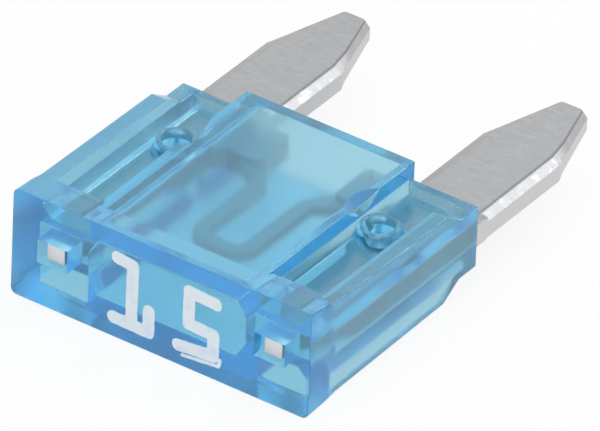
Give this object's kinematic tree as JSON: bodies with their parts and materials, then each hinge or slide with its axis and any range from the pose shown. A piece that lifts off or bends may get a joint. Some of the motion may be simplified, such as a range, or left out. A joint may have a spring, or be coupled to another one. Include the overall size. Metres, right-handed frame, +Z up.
{
  "type": "automotive blade fuse",
  "caption": "Mini blade fuse: clear blue plastic housing around a stamped metal element whose flat blades taper to rounded ends, with a hairpin link seen through the housing.",
  "frame": {"origin": "under the middle of the whole fuse, on the plane of the head's lower edge, with the fuse lying on its broad face", "axes": "+X across the two blades, +Y from the printed face to the blade tips, +Z up through the thickness"},
  "size_m": [0.011, 0.016, 0.0038],
  "materials": {
    "housing": "clear tinted plastic, moulded gloss",
    "fuse_element": "dull plated, with fine stamping marks",
    "print": "matt ink"
  },
  "bodies": {
    "root": {"housing": "housing", "fuse_element": "fuse_element"}
  },
  "joints": []
}
